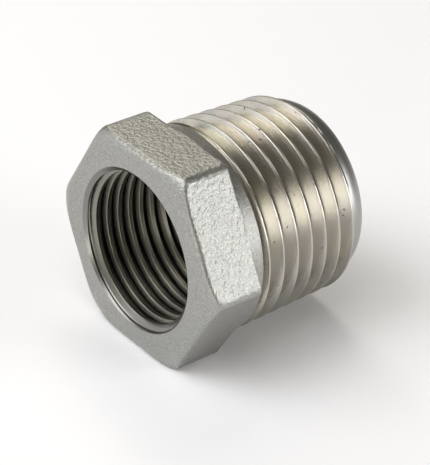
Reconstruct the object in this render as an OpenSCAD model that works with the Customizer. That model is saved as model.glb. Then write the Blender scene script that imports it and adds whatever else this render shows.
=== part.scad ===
// Hexagon reducing bushing for pipe: a cast head with an internal thread,
// and a tapered external thread one pipe size larger, on one axis.
// The pipe axis is +X. The head's front face is at X = 0 and the part lies on a flat.

/* [Head] */
// Distance across the flats of the hexagon, cast a little under a 22 mm spanner
across_flats = 21.7; // [20.6:0.1:24]
// Length of the hexagon along the pipe axis
hex_length = 5.9; // [4:0.1:9]
// Radius of the cast rounding along the six long corners
corner_radius = 1.2; // [0.5:0.1:2]
// Width of the broken edge between the front face and the flats
edge_break = 0.3; // [0.1:0.05:0.6]
// How far the front end of each corner is turned down, measured on the radius
corner_drop = 1.1; // [0.4:0.1:1.5]
// Length over which the front end of each corner is turned down
corner_drop_length = 0.9; // [0.4:0.1:1.5]

/* [Collar] */
// Length of the round collar behind the hexagon
collar_length = 1.5; // [0.8:0.1:3]
// How far the collar's front edge lies below the flats
collar_inset = 0.05; // [0.02:0.01:0.3]
// Loss of radius along the collar, from the draft of the mould
collar_draft = 0.2; // [0.05:0.05:0.4]
// Width of the turned groove between the collar and the thread
neck_width = 0.3; // [0.2:0.05:0.6]
// Depth of the turned groove below the thread's crests
neck_depth = 0.3; // [0.1:0.05:0.5]

/* [External thread] */
// Thread diameter at the gauge plane, for a half inch pipe
gauge_diameter = 20.955; // [20.6:0.005:21.3]
// Distance of the gauge plane from the thread's free end
gauge_length = 8.2; // [5:0.1:10]
// Length along the axis that changes the diameter by one unit
taper = 16; // [12:1:40]
// Distance between crests, 14 to the inch
male_pitch = 1.814; // [1.6:0.001:2]
// Length from the collar to the free end
male_length = 13.8; // [10:0.1:18]
// Length of the chamfer at the free end
end_chamfer = 1.5; // [0.5:0.1:2.5]
// Turn of the external thread round the pipe axis, in degrees
male_start = 186; // [0:1:359]
// Length over which the groove runs out towards the collar, in turns
male_runout = 0.6; // [0.3:0.05:1]

/* [Internal thread] */
// Diameter over the crests, which is the tapping hole for a three eighths pipe
female_minor = 15.32; // [15:0.01:15.4]
// Distance between crests, 19 to the inch
female_pitch = 1.337; // [1.2:0.001:1.5]
// Depth of full thread from the front face
female_length = 11.8; // [8:0.1:13]
// Depth that the tapping hole is drilled past the thread
drill_overrun = 1.6; // [1:0.1:2.5]
// Width of the 45 degree countersink's mouth at the front face
countersink_diameter = 16.9; // [16.7:0.1:17.6]
// Length over which the groove runs out at its far end, in turns
female_runout = 0.5; // [0.3:0.05:1]
// Turn of the internal thread round the pipe axis, in degrees
female_start = 7; // [0:1:359]
// Point angle of the drill that bores the tapping hole
drill_point = 118; // [90:1:140]

/* [Waterway] */
// Diameter of the plain hole at the free end
waterway_diameter = 14; // [10:0.1:14.6]
// Chamfer at the mouth of the plain hole
waterway_chamfer = 0.4; // [0.1:0.05:0.8]

/* [Hidden] */

$fn = 96;

// Form of the pipe thread: a 55 degree triangle with a sixth cut off its top and its bottom.
flank_angle = 55 / 2;
crest_share = 1 / 6;
depth_share = 2 / 3;
root_share = 0.45;
// Smallest diameter over the crests that the internal thread's form allows.
full_minor = 14.95;
// How far a cutter reaches past the surface that it cuts, and its steps to the turn.
cut_clearance = 0.15;
male_steps = 48;
female_steps = 40;

// The turned corners swell between their two ends, by these shares of width and length.
drop_swell = [0.62, 0.38];

hex_ratio = cos(30);
sharp_corner = across_flats / 2 / hex_ratio;
round_corner = sharp_corner - corner_radius * (1 / hex_ratio - 1);
head_length = hex_length + collar_length;
total_length = head_length + male_length;
gauge_x = total_length - gauge_length;
body_overlap = 0.5;
through = 1;

male_depth = thread_depth(male_pitch);
female_depth = thread_depth(female_pitch);
drill_depth = female_length + drill_overrun;

function triangle_height(pitch) = pitch / (2 * tan(flank_angle));
function thread_depth(pitch) = triangle_height(pitch) * depth_share;

// Radius of the external thread's crests at a place along the axis.
function male_crest(x) = gauge_diameter / 2 + (gauge_x - x) / (2 * taper);

// Half the width of a groove at a height above its root.
function groove_half_width(pitch, height) = pitch * crest_share / 2 + height * tan(flank_angle);

// The groove's section as [along the axis, away from the root], with the root rounded by two slopes.
function groove_section(pitch, top) =
    let (bend = pitch * crest_share * root_share)
    let (root_width = groove_half_width(pitch, bend))
    let (top_width = groove_half_width(pitch, top))
    [[-top_width, top], [-root_width, bend], [0, 0], [root_width, bend], [top_width, top]];

// One ring of a helical groove: the section turned to its angle and moved along the axis.
function groove_ring(section, angle, along, root_radius, outward) = [
    for (point = section)
        let (radius = root_radius + outward * point[1])
        [radius * cos(angle), radius * sin(angle), along + point[0]]
];

// Triangles between two neighbouring rings, for each side of the section.
function side_faces(step, size) = [
    for (side = [0 : size - 1])
        let (a = step * size + side)
        let (b = step * size + (side + 1) % size)
        each [[a, b, a + size], [b, b + size, a + size]]
];

function flipped(faces) = [for (face = faces) [for (k = [len(face) - 1 : -1 : 0]) face[k]]];

module groove_solid(rings, outward) {
    size = len(rings[0]);
    last = len(rings) - 1;
    points = [for (ring = rings) each ring];
    sides = [for (step = [0 : last - 1]) each side_faces(step, size)];
    start_cap = [[for (k = [size - 1 : -1 : 0]) k]];
    end_cap = [[for (k = [0 : size - 1]) last * size + k]];
    faces = concat(sides, start_cap, end_cap);
    polyhedron(points = points, faces = outward > 0 ? flipped(faces) : faces);
}

// The groove between the external thread's crests, which leaves the metal before the collar.
module male_groove() {
    height = male_depth + cut_clearance;
    from = head_length + neck_width - male_runout * male_pitch / 2;
    turns = (total_length + male_pitch - from) / male_pitch;
    steps = ceil(turns * male_steps);
    section = groove_section(male_pitch, height);
    rings = [
        for (step = [0 : steps])
            let (turn = step / male_steps)
            let (along = from + turn * male_pitch)
            let (lift = max(0, 1 - turn / male_runout) * height)
            let (root = male_crest(along) - male_depth + lift)
            groove_ring(section, male_start + 360 * turn, along, root, 1)
    ];
    groove_solid(rings, 1);
}

// The groove between the internal thread's crests, from in front of the face to its run-out.
module female_groove() {
    full_root = full_minor / 2 + female_depth;
    height = full_root - female_minor / 2 + cut_clearance;
    section = groove_section(female_pitch, height);
    turns = female_length / female_pitch + 1;
    steps = ceil(turns * female_steps);
    rings = [
        for (step = [0 : steps])
            let (turn = step / female_steps)
            let (along = (turn - 1) * female_pitch)
            let (left = (steps - step) / female_steps)
            let (root = full_root - max(0, 1 - left / female_runout) * height)
            groove_ring(section, female_start + 360 * turn, along, root, -1)
    ];
    groove_solid(rings, -1);
}

// One of the six long corners: what lies outside its rounding.
module corner_trim() {
    centre = sharp_corner - corner_radius / hex_ratio;
    reach = centre + corner_radius * cos(60);
    difference() {
        translate([reach, -corner_radius, -through])
            cube([sharp_corner, 2 * corner_radius, hex_length + 2 * through]);
        translate([centre, 0, -2 * through])
            cylinder(r = corner_radius, h = hex_length + 4 * through);
    }
}

// The broken edge between the front face and one flat.
module edge_trim() {
    size = edge_break * sqrt(2);
    translate([across_flats / 2, 0, 0])
        rotate([0, 45, 0])
            cube([size, across_flats, size], center = true);
}

// What is left of the corners at the front: a turned body that grows to the full corner.
module corner_limit() {
    front = round_corner - corner_drop;
    rotate_extrude()
        polygon([
            [0, 0],
            [front, 0],
            [front + corner_drop * drop_swell[0], corner_drop_length * drop_swell[1]],
            [round_corner, corner_drop_length],
            [sharp_corner + through, 2 * corner_drop_length],
            [sharp_corner + through, hex_length],
            [0, hex_length]
        ]);
}

module hexagon() {
    difference() {
        intersection() {
            rotate([0, 0, 30]) cylinder(r = sharp_corner, h = hex_length, $fn = 6);
            corner_limit();
        }
        for (k = [0 : 5]) {
            rotate([0, 0, 30 + 60 * k]) corner_trim();
            rotate([0, 0, 60 * k]) edge_trim();
        }
    }
}

module collar() {
    front = across_flats / 2 - collar_inset;
    translate([0, 0, hex_length - body_overlap])
        cylinder(r = front, h = body_overlap);
    translate([0, 0, hex_length])
        cylinder(r1 = front, r2 = front - collar_draft, h = collar_length);
}

// The turned blank of the external thread, from inside the collar to the chamfered end.
module male_blank() {
    neck_end = head_length + neck_width;
    neck_radius = male_crest(neck_end) - neck_depth;
    chamfer_x = total_length - end_chamfer;
    end_radius = male_crest(total_length) - male_depth;
    rotate_extrude()
        polygon([
            [0, hex_length],
            [neck_radius, hex_length],
            [neck_radius, neck_end],
            [male_crest(neck_end), neck_end],
            [male_crest(chamfer_x), chamfer_x],
            [end_radius, total_length],
            [0, total_length]
        ]);
}

// Everything that is drilled and turned out along the axis, without the thread's groove.
module bore() {
    minor = female_minor / 2;
    waterway = waterway_diameter / 2;
    cone = (minor - waterway) / tan(drill_point / 2);
    mouth = countersink_diameter / 2;
    rotate_extrude()
        polygon([
            [0, -through],
            [mouth, -through],
            [mouth, 0],
            [minor, mouth - minor],
            [minor, drill_depth],
            [waterway, drill_depth + cone],
            [waterway, total_length - waterway_chamfer],
            [waterway + waterway_chamfer, total_length],
            [waterway + waterway_chamfer, total_length + through],
            [0, total_length + through]
        ]);
}

module reducer() {
    color("silver")
        rotate([0, 90, 0])
            difference() {
                union() {
                    hexagon();
                    collar();
                    difference() {
                        male_blank();
                        male_groove();
                    }
                }
                bore();
                female_groove();
            }
}

reducer();
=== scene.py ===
# %% [markdown]
# # A hexagon reducing bushing
#
# This small fitting joins a thin pipe to a wider hole. A foundry casts it in
# stainless steel, blasts it clean, and a lathe then cuts two pipe threads: a
# tapered one outside and a parallel one inside.
#
# The lesson builds its skin as one closed mesh. The two threads are wound first,
# the cast head is shaped next, and everything is then sewn along round loops.
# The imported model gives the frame: same axis, same sizes, same place.

import math

import bmesh
import bpy
from mathutils import Matrix, Vector, noise


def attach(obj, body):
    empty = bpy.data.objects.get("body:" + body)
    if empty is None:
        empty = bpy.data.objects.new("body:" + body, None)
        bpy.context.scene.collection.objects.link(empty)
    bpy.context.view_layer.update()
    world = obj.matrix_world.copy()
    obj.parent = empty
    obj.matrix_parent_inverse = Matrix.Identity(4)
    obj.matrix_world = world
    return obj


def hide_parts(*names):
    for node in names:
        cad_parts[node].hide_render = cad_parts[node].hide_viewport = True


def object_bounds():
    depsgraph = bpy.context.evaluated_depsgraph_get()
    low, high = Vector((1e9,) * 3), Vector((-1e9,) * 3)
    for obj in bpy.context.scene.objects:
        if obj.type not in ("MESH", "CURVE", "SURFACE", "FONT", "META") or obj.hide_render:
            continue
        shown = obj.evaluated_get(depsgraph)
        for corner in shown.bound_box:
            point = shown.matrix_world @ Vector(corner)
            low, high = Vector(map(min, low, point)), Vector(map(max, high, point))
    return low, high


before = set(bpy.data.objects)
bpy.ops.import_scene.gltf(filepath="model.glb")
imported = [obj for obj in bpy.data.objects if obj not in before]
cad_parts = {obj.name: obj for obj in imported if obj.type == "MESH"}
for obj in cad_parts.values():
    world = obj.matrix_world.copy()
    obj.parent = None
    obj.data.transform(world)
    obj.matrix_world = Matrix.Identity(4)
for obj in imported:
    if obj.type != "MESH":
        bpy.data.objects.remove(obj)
cad_low, cad_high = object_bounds()
print("frame from", tuple(cad_low), "to", tuple(cad_high))

# %% [markdown]
# ## Sizes
#
# The mesh is shaped in millimetres, because every drawing of a fitting is, and is
# turned into metres at the very end. X runs along the pipe axis, from the head's
# front face to the free end.

# %% Sizes in millimetres
ACROSS_FLATS = 21.7
HEX_LENGTH = 5.9
COLLAR_END = 7.4
COLLAR_FRONT_RADIUS, COLLAR_BACK_RADIUS = 10.84, 10.6
NECK_END, NECK_DEPTH = 7.7, 0.2
LENGTH = 21.2
CREST_RADIUS = 7.66
MOUTH_RADIUS = 8.45
TAPPING_DEPTH = 13.4
WATERWAY_RADIUS, WATERWAY_CHAMFER = 7.0, 0.4
DRILL_HALF_ANGLE = math.radians(59)
print("one bushing,", LENGTH, "mm long and", ACROSS_FLATS, "mm across its flats")

# %% [markdown]
# ## Working round an axis
#
# Nearly everything here is round, so a point is best spoken of by its distance
# from the axis and its angle. Two helpers read a point that way and put it back.
# Angle 0 is towards +Y and a quarter turn is towards +Z. Two more keep a number
# between 0 and 1, and blend two outlines softly where they meet.


# %% Points by radius and angle, and two blends
def polar(point):
    return point.x, math.hypot(point.y, point.z), math.atan2(point.z, point.y)


def place(point, x, radius, angle):
    point.x, point.y, point.z = x, radius * math.cos(angle), radius * math.sin(angle)


def clamp(value):
    return max(0.0, min(1.0, value))


def smooth_min(a, b, width):
    """The smaller of two lengths, blended over a width where they cross."""
    mix = clamp(0.5 + 0.5 * (b - a) / width)
    return b + (a - b) * mix - width * mix * (1 - mix)


# %% [markdown]
# ## The form of a pipe thread
#
# Both threads have the 55 degree form: straight flanks that meet in a rounded root.
# The form is wanted as a height above the root for a place across the groove,
# because the skin is wound first and shaped by radius afterwards. That also makes
# a run-out easy: the depth simply fades.

# %% The 55 degree form, in pitches
FLANK = math.radians(27.5)
ROOT_ROUND = 0.137329
ARC_WIDTH = ROOT_ROUND * math.cos(FLANK)
ARC_HEIGHT = ROOT_ROUND * (1 - math.sin(FLANK))


def groove_height(share):
    """Height above the root at a share of the pitch from the groove's middle."""
    share = abs(share)
    if share < ARC_WIDTH:
        return ROOT_ROUND - math.sqrt(ROOT_ROUND**2 - share**2)
    return ARC_HEIGHT + (share - ARC_WIDTH) / math.tan(FLANK)


def nearest_groove(x, angle, pitch, phase):
    """The share of the pitch from the nearest groove's middle, and where that lies."""
    turn = angle / math.tau + phase
    share = x / pitch - turn
    return share - round(share), pitch * (round(share) + turn)


print("groove height at the quarter pitch:", round(groove_height(0.25), 4), "pitches")

# %% [markdown]
# ## Winding a skin
#
# A thread's skin could be cut with a boolean, but that leaves ragged faces along
# every crest. Here a straight row of edges, one pitch long, is spun once round the
# axis while it moves one pitch on. Copies of that turn are then set behind it, edge
# to edge, so the rows follow the helix and a crest is always one clean line.

# %% Wind a row of edges into a helical skin
WINDING_RADIUS = 10
WELD = 0.002


def wind(start, pitch, shares, turns, steps):
    bm = bmesh.new()
    row = [bm.verts.new((start + pitch * share, WINDING_RADIUS, 0)) for share in shares]
    edges = [bm.edges.new(pair) for pair in zip(row, row[1:])]
    bmesh.ops.spin(
        bm,
        geom=row + edges,
        axis=(1, 0, 0),
        cent=(0, 0, 0),
        dvec=(pitch / steps, 0, 0),
        angle=math.tau,
        steps=steps,
    )
    one_turn = bm.verts[:] + bm.edges[:] + bm.faces[:]
    for turn in range(1, turns):
        copy = bmesh.ops.duplicate(bm, geom=one_turn)["geom"]
        verts = [part for part in copy if isinstance(part, bmesh.types.BMVert)]
        bmesh.ops.translate(bm, vec=(pitch * turn, 0, 0), verts=verts)
    bmesh.ops.remove_doubles(bm, verts=bm.verts, dist=WELD)
    return bm


def mirrored(half):
    """Shares from one groove's middle to the next, from those of half a groove."""
    return half + [1 - share for share in reversed(half[:-1])]


# %% [markdown]
# The wound skin is a plain tube until each point is moved to its own radius. Both
# its ends are slanted steps, so a plane across the axis trims each of them to a
# flat, closed loop that other surfaces can be sewn to.


# %% Shape a wound skin and trim it square to the axis
def shape(bm, radius_at):
    for vert in bm.verts:
        x, _radius, angle = polar(vert.co)
        place(vert.co, x, radius_at(x, angle), angle)


def trim(bm, x, keep_after):
    bmesh.ops.bisect_plane(
        bm,
        geom=bm.verts[:] + bm.edges[:] + bm.faces[:],
        dist=1e-4,
        plane_co=(x, 0, 0),
        plane_no=(1, 0, 0),
        clear_inner=keep_after,
        clear_outer=not keep_after,
    )


# %% [markdown]
# ## The outside thread
#
# The outside thread is cut with a die on a blank that narrows by one part in
# sixteen. Its groove fades in where the collar hides it, so that it leaves the neck
# at full depth. What is left of the blank between two turns is a narrow flat crest
# with crisp edges, and it is this crest that catches the light as a thin bright
# line. The flanks are a few hundredths of a millimetre hollow. At the free end the
# blank is turned down to the depth of the roots, in a rounded lead on which the die
# could start.
#
# A phase is the place of a groove's middle at angle 0, in pitches. Each skin is
# wound a little longer than it is needed at both ends, and is trimmed afterwards.

# %% The outside thread's sizes
MALE_PITCH, MALE_DEPTH = 1.814, 1.30
MALE_PHASE, MALE_START, MALE_RUNOUT = 0.513, 5.8, 0.6
MALE_FIRST_TURN, MALE_TURNS, MALE_STEPS = 2, 10, 120
MALE_HOLLOW = 0.10
MALE_CREST_EDGE = 0.05
GAUGE_X, GAUGE_RADIUS, SLOPE = 13.0, 10.4775, 1 / 32
LEAD_START, LEAD_RADIUS, LEAD_SWELL = 19.5, 9.08, 0.6
LEAD_SHOULDER, LEAD_FLOOR = 3, 2


def male_crest(x):
    return GAUGE_RADIUS + (GAUGE_X - x) * SLOPE


def male_radius(x, angle):
    share, middle = nearest_groove(x, angle, MALE_PITCH, MALE_PHASE)
    cut = clamp((middle - MALE_START) / MALE_PITCH / MALE_RUNOUT)
    across = 2 * abs(share)
    height = groove_height(share) - MALE_HOLLOW * across * (1 - across)
    groove = male_crest(x) - cut * MALE_DEPTH + height * MALE_PITCH
    before = max(0.0, LEAD_START - x)
    along = max(0.0, x - LEAD_START) / (LENGTH - LEAD_START)
    lead = LEAD_RADIUS + LEAD_SWELL * (1 - along**2)
    thread = smooth_min(male_crest(x), groove, MALE_CREST_EDGE)
    thread = smooth_min(thread, lead + before * LEAD_SHOULDER, MALE_CREST_EDGE)
    return max(thread, lead - before * LEAD_FLOOR)


print("crest radius at the gauge plane:", male_crest(GAUGE_X), "mm")

# %% Wind the outside thread
male_rows = [0, 0.03, 0.06, 0.09, 0.13, 0.20, 0.28, 0.35, 0.41]
male_rows += [0.43, 0.442, 0.452, 0.462, 0.475, 0.5]
male_first = MALE_PITCH * (MALE_PHASE + MALE_FIRST_TURN)
male = wind(male_first, MALE_PITCH, mirrored(male_rows), MALE_TURNS, MALE_STEPS)
shape(male, male_radius)
trim(male, NECK_END, True)
trim(male, LENGTH, False)
print("outside thread:", len(male.faces), "faces")

# %% [markdown]
# ## The inside thread
#
# The inside thread is tapped in a drilled hole, so its crests are flat: they are
# what is left of the hole's wall. Only their edges are a little rounded. A 45
# degree countersink opens the mouth, and the first groove crosses it as a fine
# dark line. It is wound in the same way, with the groove pressed outwards, and the
# groove fades out over its last half turn.

# %% Wind the inside thread
FEMALE_PITCH, FEMALE_PHASE = 1.337, 0.46
FEMALE_FIRST_TURN, FEMALE_TURNS, FEMALE_STEPS = -2, 12, 96
ROOT_RADIUS = 8.35
THREAD_DEPTH, FEMALE_RUNOUT = 11.8, 0.5
FEMALE_CREST_EDGE = 0.03


def female_radius(x, angle):
    share, middle = nearest_groove(x, angle, FEMALE_PITCH, FEMALE_PHASE)
    cut = clamp((THREAD_DEPTH - middle) / FEMALE_PITCH / FEMALE_RUNOUT)
    root = CREST_RADIUS + cut * (ROOT_RADIUS - CREST_RADIUS)
    groove = root - groove_height(share) * FEMALE_PITCH
    wall = max(CREST_RADIUS, MOUTH_RADIUS - x)
    return -smooth_min(-groove, -wall, FEMALE_CREST_EDGE)


female_rows = [0, 0.04, 0.08, 0.122, 0.18, 0.24, 0.30]
female_rows += [0.325, 0.337, 0.35, 0.365, 0.39, 0.44, 0.5]
female_first = FEMALE_PITCH * (FEMALE_PHASE + FEMALE_FIRST_TURN)
female = wind(female_first, FEMALE_PITCH, mirrored(female_rows), FEMALE_TURNS, FEMALE_STEPS)
shape(female, female_radius)
trim(female, 0, True)
trim(female, TAPPING_DEPTH, False)
print("inside thread:", len(female.faces), "faces")

# %% [markdown]
# ## The cast hexagon
#
# The head starts as a six-sided circle. Its corners are bevelled and its sides are
# divided, which gives one outline with even points. The outline is extruded back
# along the axis in short steps, so that there are enough points for the soft,
# uneven skin of a casting.

# %% Draw the rounded outline of the hexagon
CORNER_RADIUS = 0.4
SIXTH = math.radians(30)

head = bmesh.new()
bmesh.ops.create_circle(head, segments=6, radius=ACROSS_FLATS / 2 / math.cos(SIXTH))
bmesh.ops.rotate(head, verts=head.verts, matrix=Matrix.Rotation(math.radians(90), 3, "Y"))
bmesh.ops.bevel(
    head,
    geom=head.verts[:],
    offset=CORNER_RADIUS * math.tan(SIXTH),
    offset_type="OFFSET",
    segments=8,
    profile=0.5,
    material=-1,
    affect="VERTICES",
)
flats = [edge for edge in head.edges if edge.calc_length() > 2]
bmesh.ops.subdivide_edges(head, edges=flats, cuts=39)
print("outline of", len(head.verts), "points")


# %% Extrude a loop and place the new one
def extrude_to(bm, loop, where):
    """Extrudes a loop of edges and puts each new point where the rule says."""
    made = bmesh.ops.extrude_edge_only(bm, edges=loop)["geom"]
    verts = {part for part in made if isinstance(part, bmesh.types.BMVert)}
    for vert in verts:
        place(vert.co, *where(*polar(vert.co)))
    edges = [part for part in made if isinstance(part, bmesh.types.BMEdge)]
    return [edge for edge in edges if set(edge.verts) <= verts]


# %% [markdown]
# The corners are worn to one radius all along, and at the front they are turned down
# further, as if the hexagon were dipped in a cup. A limit on the radius that grows
# with the distance from the front gives both, with a blend where it starts to act.
# The rims are rounded by where each ring of points stands. At the back the corners
# have a rim, but the middle of each flat runs straight on into the collar.

# %% How far out a point of the sides lies
ROUND_CORNER = 12.342
CORNER_DROP, CORNER_DROP_LENGTH, STRAIGHT_SHARE = 1.1, 0.9, 0.35
CORNER_BLEND, FRONT_BLEND = 0.1, 0.25
FRONT_RIM, BACK_RIM = 0.62, 0.25
ABOVE_FLAT, ABOVE_FLAT_FADE = 0.05, 0.5


def left_of_drop(x):
    return max(0.0, 1 - x / CORNER_DROP_LENGTH)


def corner_limit(x):
    left = left_of_drop(x)
    return ROUND_CORNER - CORNER_DROP * (STRAIGHT_SHARE * left + (1 - STRAIGHT_SHARE) * left**2)


def rim(distance, size):
    """How far a rounded rim lies inside at a distance from its end."""
    left = min(size, max(0.0, size - distance))
    return size - math.sqrt(size**2 - left**2)


def side_radius(x, radius):
    above_flat = clamp((radius - ACROSS_FLATS / 2 - ABOVE_FLAT) / ABOVE_FLAT_FADE)
    rims = rim(x, FRONT_RIM) + rim(HEX_LENGTH - x, BACK_RIM) * above_flat
    blend = CORNER_BLEND + FRONT_BLEND * left_of_drop(x)
    return smooth_min(radius, corner_limit(x), blend) - rims


print("corner radius at the front", round(corner_limit(0), 3), "and behind", corner_limit(1), "mm")

# %% Extrude the sides and shape them
side_places = [0.012, 0.04, 0.085, 0.14, 0.21, 0.3, 0.42, 0.55, 0.7, 0.85]
side_places += [1.05 + 0.24 * k for k in range(20)]
side_places += [5.76, 5.84, 5.885, HEX_LENGTH]
front_loop = head.edges[:]
loop = front_loop
for x in side_places:
    loop = extrude_to(head, loop, lambda _x, radius, angle, x=x: (x, radius, angle))
for vert in head.verts:
    x, radius, angle = polar(vert.co)
    place(vert.co, x, side_radius(x, radius), angle)
print("sides of", len(head.faces), "faces")

# %% [markdown]
# The front face runs from the outline in to the mouth. The loop is extruded
# inwards in rings that change from the hexagon to a circle.

# %% Make the front face
FACE_INNER_RADIUS = 8.9
FACE_RINGS = 12


def inwards(share):
    """A rule that takes a point a share of its way to the inner circle."""
    return lambda x, radius, angle: (x, radius + (FACE_INNER_RADIUS - radius) * share, angle)


loop = front_loop
for rings_left in range(FACE_RINGS, 0, -1):
    loop = extrude_to(head, loop, inwards(1 / rings_left))
print("head of", len(head.faces), "faces")

# %% [markdown]
# ## Sewing the parts together
#
# The three skins go into one mesh. Each is open at its ends, and the ends are
# found again as loops of edges at a known place along the axis. The neck and the
# collar grow out of the outside thread's loop, the waterway out of the inside
# thread's, and the last gaps are bridged.

# %% Put the skins into one mesh
CAST, TURNED, TAPPED = 0, 1, 2
skin = bmesh.new()
for part, finish in ((head, CAST), (male, TURNED), (female, TAPPED)):
    for face in part.faces:
        face.material_index = finish
    scratch = bpy.data.meshes.new("scratch")
    part.to_mesh(scratch)
    part.free()
    skin.from_mesh(scratch)
    bpy.data.meshes.remove(scratch)
print("one mesh of", len(skin.faces), "faces")


# %% Find, grow and bridge loops
HELD_APART = 2


def open_loop(x, low, high):
    """The open edges at a place along the axis and within a range of radii."""
    return [
        edge
        for edge in skin.edges
        if edge.is_boundary
        and all(abs(v.co.x - x) < WELD and low < polar(v.co)[1] < high for v in edge.verts)
    ]


def ring(x, radius):
    """A rule that puts every point on one circle."""
    return lambda _x, _radius, angle: (x, radius, angle)


def grow(loop, where, finish):
    """Extrudes a loop of the skin and gives the new band of faces its finish."""
    before = set(skin.faces)
    loop = extrude_to(skin, loop, where)
    for face in set(skin.faces) - before:
        face.material_index = finish
    return loop


def sew(inner, outer, finish):
    """Bridges two loops. One is held apart meanwhile, so that they can't be mistaken."""
    verts = list({v for edge in inner for v in edge.verts})
    bmesh.ops.translate(skin, vec=(-HELD_APART, 0, 0), verts=verts)
    made = bmesh.ops.bridge_loops(skin, edges=inner + outer)["faces"]
    bmesh.ops.translate(skin, vec=(HELD_APART, 0, 0), verts=verts)
    for face in made:
        face.material_index = finish
    return made


# %% [markdown]
# The neck is a shallow turned groove beside the collar. The collar is a plain drum
# with a little draft and a broken back edge. It needs several rings, because it
# is pressed in together with the casting. The broken edge is given by its distances
# from the collar's end and its depths below the draft.

# %% Grow the neck and the collar
COLLAR_RINGS = 8
EDGE_BREAK = ((0, 0.08), (0.03, 0.02))
NECK_STEP = 0.02


def neck_floor(_x, radius, angle):
    return NECK_END, min(male_crest(NECK_END) - NECK_DEPTH, radius - NECK_STEP), angle


loop = open_loop(NECK_END, 9, 12)
loop = grow(loop, neck_floor, TURNED)
loop = grow(loop, lambda _x, radius, angle: (COLLAR_END, radius, angle), TURNED)
for inset, depth in EDGE_BREAK:
    loop = grow(loop, ring(COLLAR_END - inset, COLLAR_BACK_RADIUS - depth), TURNED)
rim_x = COLLAR_END - inset
for count in range(1, COLLAR_RINGS + 1):
    x = rim_x - (rim_x - HEX_LENGTH) * count / COLLAR_RINGS
    share = (COLLAR_END - x) / (COLLAR_END - HEX_LENGTH)
    radius = COLLAR_BACK_RADIUS + (COLLAR_FRONT_RADIUS - COLLAR_BACK_RADIUS) * share
    loop = grow(loop, ring(x, radius), CAST)
hexagon_loop = [edge for edge in open_loop(HEX_LENGTH, 10.4, 13) if edge not in loop]
made = sew(loop, hexagon_loop, CAST)
print("collar and hexagon joined by", len(made), "faces")

# %% Grow the waterway and close the two ends
loop = open_loop(TAPPING_DEPTH, 7, 8)
drill_cone = (CREST_RADIUS - WATERWAY_RADIUS) / math.tan(DRILL_HALF_ANGLE)
loop = grow(loop, ring(TAPPING_DEPTH + drill_cone, WATERWAY_RADIUS), TURNED)
loop = grow(loop, ring(LENGTH - WATERWAY_CHAMFER, WATERWAY_RADIUS), TURNED)
loop = grow(loop, ring(LENGTH, WATERWAY_RADIUS + WATERWAY_CHAMFER), TURNED)
sew(loop, open_loop(LENGTH, 8.5, 10.5), TURNED)
sew(open_loop(0, 8.2, 8.6), open_loop(0, 8.6, 9.2), CAST)
print("open edges left:", len([edge for edge in skin.edges if not edge.is_manifold]))

# %% [markdown]
# ## The skin of the casting
#
# A cast surface is never quite flat. It has a broad swell from the way the metal
# shrinks and small dimples from the mould. The points of the cast faces are
# pressed inwards by noise, and never outwards, so that the head stays inside its
# drawn size. The collar behind the head is touched by the lathe, so the unevenness
# fades out before it, and it is only pressed in evenly.

# %% Press the cast skin in by a few hundredths
SWELL, SWELL_SIZE = 0.05, 3.5
DIMPLE, DIMPLE_SIZE, DIMPLE_SHIFT = 0.03, 0.7, Vector((7, 3, 5))
ROUGH_END, ROUGH_FADE = HEX_LENGTH + 0.2, 0.5
bmesh.ops.recalc_face_normals(skin, faces=skin.faces)
skin.normal_update()
cast_verts = [v for v in skin.verts if all(f.material_index == CAST for f in v.link_faces)]
presses = []
for vert in cast_verts:
    swell = 0.5 * noise.noise(vert.co / SWELL_SIZE)
    dimple = 0.5 + 0.5 * noise.noise(vert.co / DIMPLE_SIZE + DIMPLE_SHIFT)
    rough = clamp((ROUGH_END - vert.co.x) / ROUGH_FADE)
    presses.append(SWELL * (0.5 + swell * rough) + DIMPLE * dimple * rough)
for vert, press in zip(cast_verts, presses):
    vert.co -= vert.normal * press
print("pressed", len(cast_verts), "points by up to", round(max(presses), 3), "mm")

# %% [markdown]
# The mesh is now closed. It is scaled to metres, shaded smooth, and keeps a sharp
# edge only where two faces really meet at an angle.

# %% Finish the mesh
SHARP_ANGLE = math.radians(38)
bmesh.ops.triangulate(skin, faces=[f for f in skin.faces if len(f.verts) > 4])
bmesh.ops.scale(skin, vec=(0.001, 0.001, 0.001), verts=skin.verts)
for face in skin.faces:
    face.smooth = True
for edge in skin.edges:
    edge.smooth = edge.calc_face_angle(0) < SHARP_ANGLE
mesh = bpy.data.meshes.new("bushing")
skin.to_mesh(mesh)
skin.free()
bushing = bpy.data.objects.new("bushing", mesh)
bpy.context.scene.collection.objects.link(bushing)
print("bushing of", len(mesh.polygons), "faces")

# %% [markdown]
# ## Finishes
#
# Colours are given as sRGB hex values, but the renderer works in linear light, so one function
# converts them. A second one adds a node with its settings and its links, which keeps each
# material short. Patterns are laid out in millimetres, so a noise scale of 2 means two grains to
# the millimetre.


# %% Helpers for materials
def linear(code):
    parts = [int(code[k : k + 2], 16) / 255 for k in (1, 3, 5)]
    return [p / 12.92 if p <= 0.04045 else ((p + 0.055) / 1.055) ** 2.4 for p in parts] + [1]


def add(tree, kind, settings=(), inputs=()):
    """Adds a node, sets its properties, and sets or links its inputs."""
    node = tree.nodes.new(kind)
    for name, value in dict(settings).items():
        setattr(node, name, value)
    for name, value in dict(inputs).items():
        if isinstance(value, bpy.types.NodeSocket):
            tree.links.new(value, node.inputs[name])
        else:
            node.inputs[name].default_value = value
    return node


def fresh_material(name):
    """An empty material, its node tree, and the place on the bushing in millimetres."""
    material = bpy.data.materials.new(name)
    material.use_nodes = True
    tree = material.node_tree
    tree.nodes.clear()
    coordinates = add(tree, "ShaderNodeTexCoord")
    scaled = {"Vector": coordinates.outputs["Object"], "Scale": (1000, 1000, 1000)}
    millimetres = add(tree, "ShaderNodeMapping", inputs=scaled)
    return material, tree, millimetres.outputs["Vector"]


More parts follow.
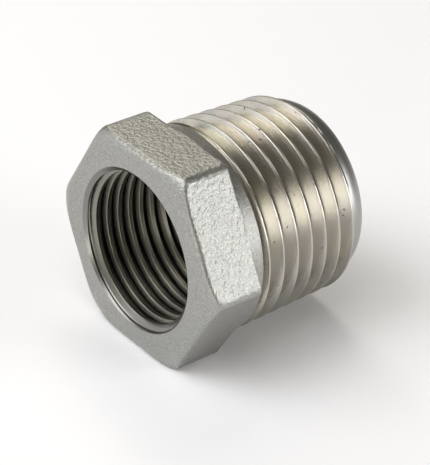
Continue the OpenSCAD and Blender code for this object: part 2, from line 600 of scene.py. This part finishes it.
# The Mix node has a socket of each name for every kind of data, so its colour
# sockets are told apart by number.
COLOUR_MIX = {"data_type": "RGBA"}
FACTOR, FIRST, SECOND, RESULT = 0, 6, 7, 2

# %% [markdown]
# ### Blasted cast stainless steel
#
# Blasting leaves a fine, even grain with no polish. The grains are a third to half
# of a millimetre wide and catch the light one by one, so the metal looks almost
# matte, with bright specks. On the collar the lathe has taken most of the grain off.

# %% The blasted casting
cast_steel, tree, place_mm = fresh_material("blasted cast stainless steel")
grain = add(
    tree,
    "ShaderNodeTexNoise",
    inputs={"Vector": place_mm, "Scale": 2.4, "Detail": 4, "Roughness": 0.5},
)
speck = add(
    tree,
    "ShaderNodeTexNoise",
    inputs={"Vector": place_mm, "Scale": 7.0, "Detail": 2, "Roughness": 0.6},
)
axes = add(tree, "ShaderNodeSeparateXYZ", inputs={"Vector": place_mm})
calm = add(
    tree,
    "ShaderNodeMapRange",
    inputs={
        "Value": axes.outputs["X"],
        "From Min": HEX_LENGTH - 0.1,
        "From Max": HEX_LENGTH + 0.4,
        "To Min": 1.0,
        "To Max": 0.3,
    },
)
relief = add(
    tree,
    "ShaderNodeBump",
    inputs={"Height": grain.outputs["Fac"], "Strength": calm.outputs[0], "Distance": 0.0001},
)
fine_relief = add(
    tree,
    "ShaderNodeBump",
    inputs={
        "Height": speck.outputs["Fac"],
        "Strength": 0.6,
        "Distance": 0.00004,
        "Normal": relief.outputs["Normal"],
    },
)
shade = add(tree, "ShaderNodeValToRGB", inputs={"Fac": speck.outputs["Fac"]})
dark, light = shade.color_ramp.elements
dark.position, dark.color = 0.32, linear("#949491")
light.position, light.color = 0.68, linear("#B7B7B3")
metal = add(
    tree,
    "ShaderNodeBsdfPrincipled",
    inputs={
        "Base Color": shade.outputs["Color"],
        "Metallic": 1.0,
        "Roughness": 0.42,
        "Normal": fine_relief.outputs["Normal"],
    },
)
add(tree, "ShaderNodeOutputMaterial", inputs={"Surface": metal.outputs["BSDF"]})
print("made", cast_steel.name)

# %% [markdown]
# ### Turned stainless steel
#
# The threads are bare cut metal. A cutting edge leaves fine rings round the axis, about twelve to
# the millimetre and too fine to be seen one by one, so the highlights are drawn out across them.
# The heat of the cut leaves a thin oxide with faint straw and rose tints, and here and there a
# casting pore is cut open and shows as a dark dot. The lead at the free end is painted a plain,
# darker grey as shade, and is less glossy than the threads.


# %% The rings that a cutting edge leaves
def turning_rings(tree, place_mm, strength):
    """A relief that is fine along the axis and drawn out across it."""
    drawn_out = {"Vector": place_mm, "Scale": (6, 0.5, 0.5)}
    streak = add(tree, "ShaderNodeMapping", inputs=drawn_out)
    rings = add(
        tree,
        "ShaderNodeTexNoise",
        inputs={"Vector": streak.outputs["Vector"], "Scale": 2.0, "Detail": 4},
    )
    height = {"Height": rings.outputs["Fac"], "Strength": strength, "Distance": 0.00003}
    return add(tree, "ShaderNodeBump", inputs=height)


# %% The tints and pores of the turned threads
turned_steel, tree, place_mm = fresh_material("turned stainless steel")
marks = turning_rings(tree, place_mm, 0.4)
bands = add(tree, "ShaderNodeMapping", inputs={"Vector": place_mm, "Scale": (0.9, 0.16, 0.16)})
heat = add(
    tree,
    "ShaderNodeTexNoise",
    inputs={"Vector": bands.outputs["Vector"], "Scale": 1.0, "Detail": 2},
)
tint = add(tree, "ShaderNodeValToRGB", inputs={"Fac": heat.outputs["Fac"]})
tints = tint.color_ramp.elements
for position, code in ((0.30, "#C0BFBD"), (0.44, "#C1BEB2"), (0.56, "#BFBAB4"), (0.70, "#BBBBB3")):
    stop = tints.new(position)
    stop.color = linear(code)
tints.remove(tints[0])
tints.remove(tints[len(tints) - 1])
pores = add(tree, "ShaderNodeTexNoise", inputs={"Vector": place_mm, "Scale": 3.0, "Detail": 0})
solid = add(
    tree,
    "ShaderNodeMapRange",
    inputs={"Value": pores.outputs["Fac"], "From Min": 0.15, "From Max": 0.19},
)
shade = add(
    tree,
    "ShaderNodeMix",
    COLOUR_MIX,
    {FACTOR: solid.outputs[0], FIRST: linear("#4E4B45"), SECOND: tint.outputs["Color"]},
)
print("tints, rings and pores for", turned_steel.name)

# %% The lead's painted shade, and the metal itself
axes = add(tree, "ShaderNodeSeparateXYZ", inputs={"Vector": place_mm})
lead = add(
    tree,
    "ShaderNodeMapRange",
    inputs={
        "Value": axes.outputs["X"],
        "From Min": LEAD_START - 0.5,
        "From Max": LEAD_START - 0.2,
    },
)
# Painted shade: the lead is coloured a plain, darker grey in place of the threads' tints.
lead_painted_shade = add(
    tree,
    "ShaderNodeMix",
    COLOUR_MIX,
    {FACTOR: lead.outputs[0], FIRST: shade.outputs[RESULT], SECOND: linear("#A6A6A4")},
)
gloss = add(
    tree, "ShaderNodeMapRange", inputs={"Value": lead.outputs[0], "To Min": 0.26, "To Max": 0.36}
)
metal = add(
    tree,
    "ShaderNodeBsdfPrincipled",
    inputs={
        "Base Color": lead_painted_shade.outputs[RESULT],
        "Metallic": 1.0,
        "Roughness": gloss.outputs[0],
        "Normal": marks.outputs["Normal"],
    },
)
add(tree, "ShaderNodeOutputMaterial", inputs={"Surface": metal.outputs["BSDF"]})
print("made", turned_steel.name)

# %% [markdown]
# ### Tapped stainless steel
#
# The grooves are painted dark as shade, and the crests are left a lighter grey. The painted shade
# is told by depth: how far a point lies outside the wall of the tapping hole, or outside the
# countersink near the mouth. The countersink itself is cut, and shows a plain grey.

# %% The painted shade in the grooves
LESS, LARGER = {"operation": "SUBTRACT"}, {"operation": "MAXIMUM"}
tapped_steel, tree, place_mm = fresh_material("tapped stainless steel with painted groove shade")
axes = add(tree, "ShaderNodeSeparateXYZ", inputs={"Vector": place_mm})
across = add(
    tree, "ShaderNodeCombineXYZ", inputs={"Y": axes.outputs["Y"], "Z": axes.outputs["Z"]}
)
radius = add(tree, "ShaderNodeVectorMath", {"operation": "LENGTH"}, {0: across.outputs["Vector"]})
cone = add(tree, "ShaderNodeMath", LESS, {0: MOUTH_RADIUS, 1: axes.outputs["X"]})
wall = add(tree, "ShaderNodeMath", LARGER, {0: cone.outputs[0], 1: CREST_RADIUS})
depth = add(tree, "ShaderNodeMath", LESS, {0: radius.outputs["Value"], 1: wall.outputs[0]})
spread = add(tree, "ShaderNodeTexNoise", inputs={"Vector": place_mm, "Scale": 1.4, "Detail": 4})
groove_shade_level = add(
    tree,
    "ShaderNodeMapRange",
    inputs={"Value": spread.outputs["Fac"], "To Min": 0.22, "To Max": 0.42},
)
# Painted shade: the deeper a point lies in a groove, past a noisy level, the darker its colour.
groove_shade_depth = add(tree, "ShaderNodeMath", LESS, {0: depth.outputs[0], 1: groove_shade_level.outputs[0]})
shade = add(tree, "ShaderNodeValToRGB", inputs={"Fac": groove_shade_depth.outputs[0]})
# The first stop is the crest's own grey, the second is the painted shade of the grooves.
lit_crest_stop, painted_shade_stop = shade.color_ramp.elements
lit_crest_stop.position, lit_crest_stop.color = 0.0, linear("#8E8B82")
painted_shade_stop.position, painted_shade_stop.color = 0.2, linear("#2E2D2A")
print("painted groove shade for", tapped_steel.name)

# %% The countersink, and the metal itself
in_mouth = add(
    tree,
    "ShaderNodeMapRange",
    inputs={
        "Value": cone.outputs[0],
        "From Min": CREST_RADIUS,
        "From Max": CREST_RADIUS + 0.05,
    },
)
mouth = add(
    tree,
    "ShaderNodeMix",
    COLOUR_MIX,
    {FACTOR: in_mouth.outputs[0], FIRST: shade.outputs["Color"], SECOND: linear("#8A8985")},
)
marks = turning_rings(tree, place_mm, 0.5)
metal = add(
    tree,
    "ShaderNodeBsdfPrincipled",
    inputs={
        "Base Color": mouth.outputs[RESULT],
        "Metallic": 1.0,
        "Roughness": 0.33,
        "Normal": marks.outputs["Normal"],
    },
)
add(tree, "ShaderNodeOutputMaterial", inputs={"Surface": metal.outputs["BSDF"]})
for finish in (cast_steel, turned_steel, tapped_steel):
    mesh.materials.append(finish)
print("made", tapped_steel.name)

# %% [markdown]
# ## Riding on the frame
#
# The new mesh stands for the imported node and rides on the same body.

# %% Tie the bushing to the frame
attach(bushing, "root")
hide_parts("reducer")
print("the bushing rides on the frame")

# %% [markdown]
# ## The stage
#
# The fitting lies on a sheet of white paper in a dim, slightly warm room. Metal
# looks like what stands round it, so the room matters as much as the lamps do: the
# threads go dark where they mirror it, and light where they mirror a lamp.

# %% The floor
FLOOR_HALF_WIDTH = 3
floor_mesh = bpy.data.meshes.new("floor")
floor_bm = bmesh.new()
bmesh.ops.create_grid(floor_bm, x_segments=1, y_segments=1, size=FLOOR_HALF_WIDTH)
bmesh.ops.translate(floor_bm, vec=(0, 0, cad_low.z), verts=floor_bm.verts)
floor_bm.to_mesh(floor_mesh)
floor_bm.free()
floor = bpy.data.objects.new("floor", floor_mesh)
bpy.context.scene.collection.objects.link(floor)
floor_paper = bpy.data.materials.new("white paper")
floor_paper.use_nodes = True
tree = floor_paper.node_tree
tree.nodes.clear()
paper = add(
    tree, "ShaderNodeBsdfPrincipled", inputs={"Base Color": linear("#FAFAFD"), "Roughness": 0.9}
)
add(tree, "ShaderNodeOutputMaterial", inputs={"Surface": paper.outputs[0]})
floor_mesh.materials.append(floor_paper)
print("floor at", round(cad_low.z * 1000, 3), "mm")

# %% The room
world = bpy.data.worlds.new("studio")
bpy.context.scene.world = world
world.use_nodes = True
tree = world.node_tree
tree.nodes.clear()
room = add(tree, "ShaderNodeBackground", inputs={"Color": linear("#636057"), "Strength": 1.0})
add(tree, "ShaderNodeOutputWorld", inputs={"Surface": room.outputs[0]})
print("made", world.name)

# %% [markdown]
# Each lamp is placed by what mirrors it. The right softbox gives the bright flat on
# the right and the broad band down the middle of the thread. The back strip gives
# the top flat and the pale band beside it on the thread. The low back panel lifts
# the thread's topmost edge a little, and the mouth panel brings up the crests inside
# the mouth. The two large softboxes light the paper, and the front face with it. To
# see what one lamp does, leave out its line and render again.

# %% The lamps
AIM = Vector((0.01, 0, 0))


def lamp(name, towards, along, distance, length, width, watts, code="#FFFFFF"):
    """A soft panel that faces the bushing, with its long side along a direction."""
    light = bpy.data.lights.new(name, "AREA")
    light.shape = "RECTANGLE"
    light.size, light.size_y = length, width
    light.energy = watts
    light.color = linear(code)[:3]
    holder = bpy.data.objects.new(name, light)
    out = Vector(towards).normalized()
    side = Vector(along).cross(out).normalized()
    turn = Matrix((out.cross(side), side, out)).transposed().to_4x4()
    holder.matrix_world = Matrix.Translation(AIM + out * distance) @ turn
    bpy.context.scene.collection.objects.link(holder)
    print(name, "of", length, "by", width, "m")


lamp("right softbox", (0.57, -0.79, 0.22), (0, 0, 1), 0.4, 0.24, 0.24, 0.78)
lamp("back strip", (0.31, 0.64, 0.70), (0.42, -0.64, 0.63), 0.4, 0.32, 0.09, 0.42, "#FFFAEE")
lamp("low back panel", (-0.66, 0.74, 0.11), (0.78, 0.62, 0), 0.4, 0.30, 0.07, 0.085)
lamp("mouth panel", (-0.84, -0.54, 0.07), (0.54, -0.84, 0), 0.4, 0.16, 0.08, 0.22, "#FFF9EE")
lamp("left softbox", (-0.66, 0.31, 0.62), (0, 1, 0), 0.5, 0.44, 0.44, 1.5)
lamp("top softbox", (-0.40, -0.05, 0.92), (0, 1, 0), 0.5, 0.44, 0.44, 1.1)

# %% [markdown]
# ## The camera
#
# The camera was found by matching the outline of the photographed fitting. It is a
# long lens that looks down at the front face from the left. Its focal length and
# its small shift were found in pixels of a picture 465 pixels high.

# %% The camera
PICTURE_HEIGHT, FOCAL_PIXELS = 465, 2121.06
SHIFT_PIXELS = (-3.05, -2.13)
SENSOR = 36

camera_data = bpy.data.cameras.new("camera")
camera = bpy.data.objects.new("camera", camera_data)
bpy.context.scene.collection.objects.link(camera)
right = Vector((0.78148, -0.62211, 0.04768))
up = Vector((0.3025, 0.44461, 0.8431))
back = Vector((-0.5457, -0.64444, 0.53564))
turn = Matrix((right, up, back)).transposed().to_4x4()
camera.matrix_world = Matrix.Translation((-0.104017, -0.135152, 0.110948)) @ turn
camera_data.sensor_width = SENSOR
camera_data.lens = FOCAL_PIXELS / PICTURE_HEIGHT * SENSOR
camera_data.shift_x = SHIFT_PIXELS[0] / PICTURE_HEIGHT
camera_data.shift_y = SHIFT_PIXELS[1] / PICTURE_HEIGHT
camera_data.clip_start, camera_data.clip_end = 0.01, 10
bpy.context.scene.camera = camera
bpy.context.scene.view_settings.view_transform = "Standard"
print("lens of", round(camera_data.lens), "mm")
